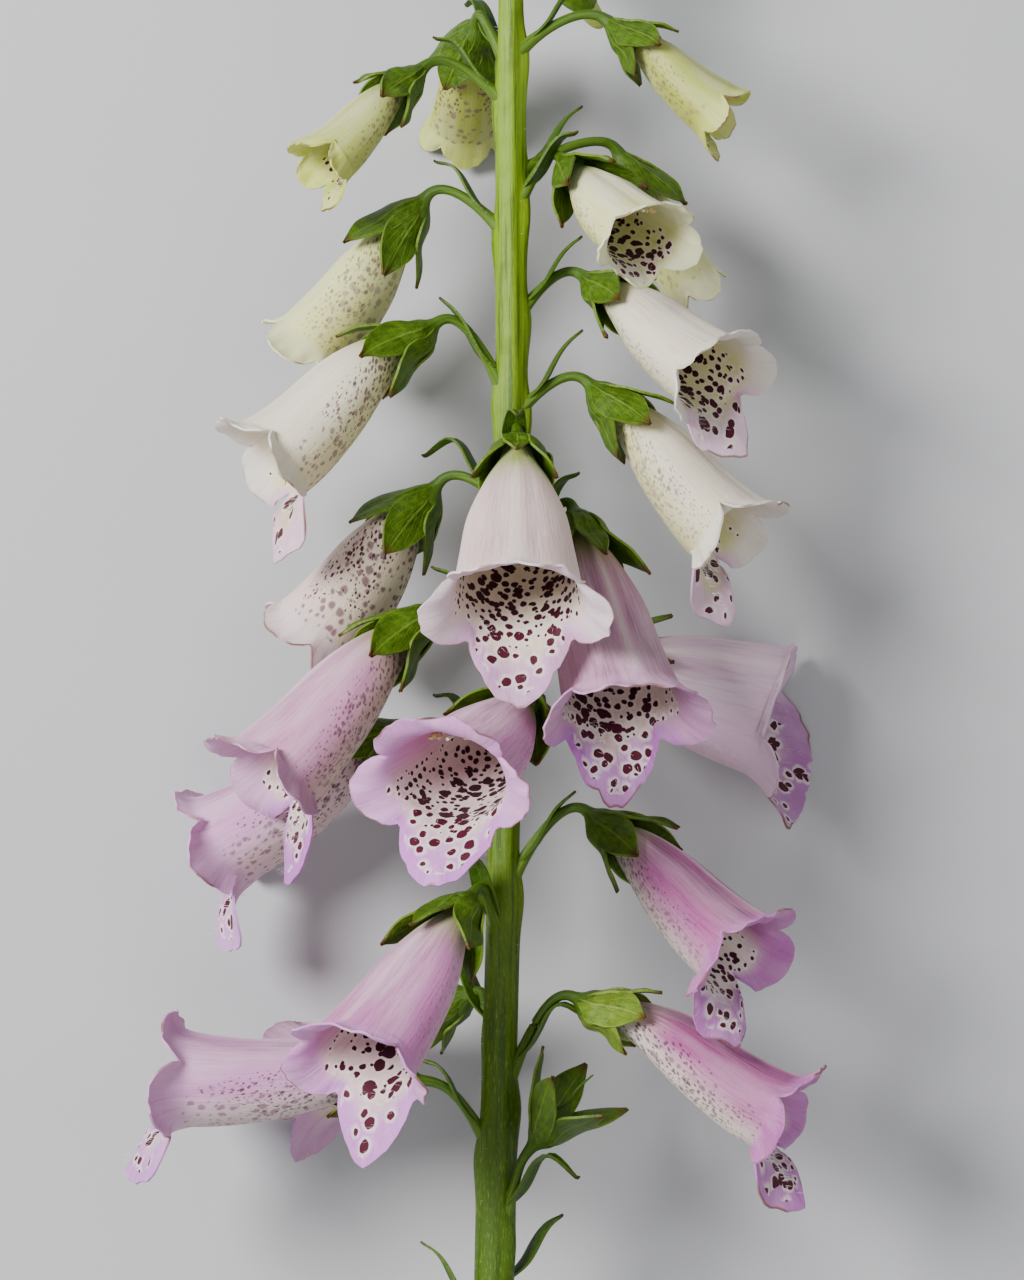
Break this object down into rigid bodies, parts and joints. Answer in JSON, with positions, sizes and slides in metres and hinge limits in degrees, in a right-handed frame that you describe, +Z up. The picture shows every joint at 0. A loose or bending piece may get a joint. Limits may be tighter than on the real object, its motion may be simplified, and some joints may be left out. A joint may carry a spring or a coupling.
{
  "type": "foxglove flower spike",
  "caption": "Cut foxglove flower spike lying on its back: a ribbed stem with hanging bell flowers, leafy calyxes and a budding tip.",
  "frame": {"origin": "middle of the spike's bounding box, on the surface that it lies on", "axes": "+Y up the stem from its cut end to its tip, +X to the right of the stem seen from above, +Z up from the surface"},
  "size_m": [0.14, 0.367, 0.0981],
  "materials": {
    "stem_green": "ribbed yellow-green plant stem, satin, darker olive towards the cut end",
    "leaf_green": "veined mid-green leaf, satin, with paler veins and red-brown tips",
    "petal_cream": "pale green-cream petal, matt and slightly translucent, with brown-purple specks",
    "petal_blush": "cream-white petal with a faint pink flush, maroon spots with pale rings inside",
    "petal_lilac": "finely veined lilac-pink petal, maroon spots with pale rings inside",
    "stamen_cream": "matt cream stamens and style"
  },
  "bodies": {
    "root": {"stem": "stem_green", "corolla_01": "petal_cream", "calyx_01": "leaf_green", "corolla_02": "petal_cream", "calyx_02": "leaf_green", "corolla_03": "petal_cream", "calyx_03": "leaf_green", "corolla_04": "petal_cream", "calyx_04": "leaf_green", "corolla_05": "petal_cream", "calyx_05": "leaf_green", "stamens_05": "stamen_cream", "corolla_06": "petal_cream", "calyx_06": "leaf_green", "corolla_07": "petal_blush", "calyx_07": "leaf_green", "stamens_07": "stamen_cream", "corolla_08": "petal_blush", "calyx_08": "leaf_green", "stamens_08": "stamen_cream", "corolla_09": "petal_blush", "calyx_09": "leaf_green", "stamens_09": "stamen_cream", "corolla_10": "petal_blush", "calyx_10": "leaf_green", "stamens_10": "stamen_cream", "corolla_11": "petal_blush", "calyx_11": "leaf_green", "corolla_12": "petal_blush", "calyx_12": "leaf_green", "stamens_12": "stamen_cream", "corolla_13": "petal_lilac", "calyx_13": "leaf_green", "stamens_13": "stamen_cream", "corolla_14": "petal_lilac", "calyx_14": "leaf_green", "stamens_14": "stamen_cream", "corolla_15": "petal_lilac", "calyx_15": "leaf_green", "stamens_15": "stamen_cream", "corolla_16": "petal_lilac", "calyx_16": "leaf_green", "stamens_16": "stamen_cream", "corolla_17": "petal_lilac", "calyx_17": "leaf_green", "stamens_17": "stamen_cream", "corolla_18": "petal_lilac", "calyx_18": "leaf_green", "stamens_18": "stamen_cream", "corolla_19": "petal_lilac", "calyx_19": "leaf_green", "stamens_19": "stamen_cream", "corolla_20": "petal_lilac", "calyx_20": "leaf_green", "stamens_20": "stamen_cream", "corolla_21": "petal_lilac", "calyx_21": "leaf_green", "calyx_22": "leaf_green"}
  },
  "joints": []
}
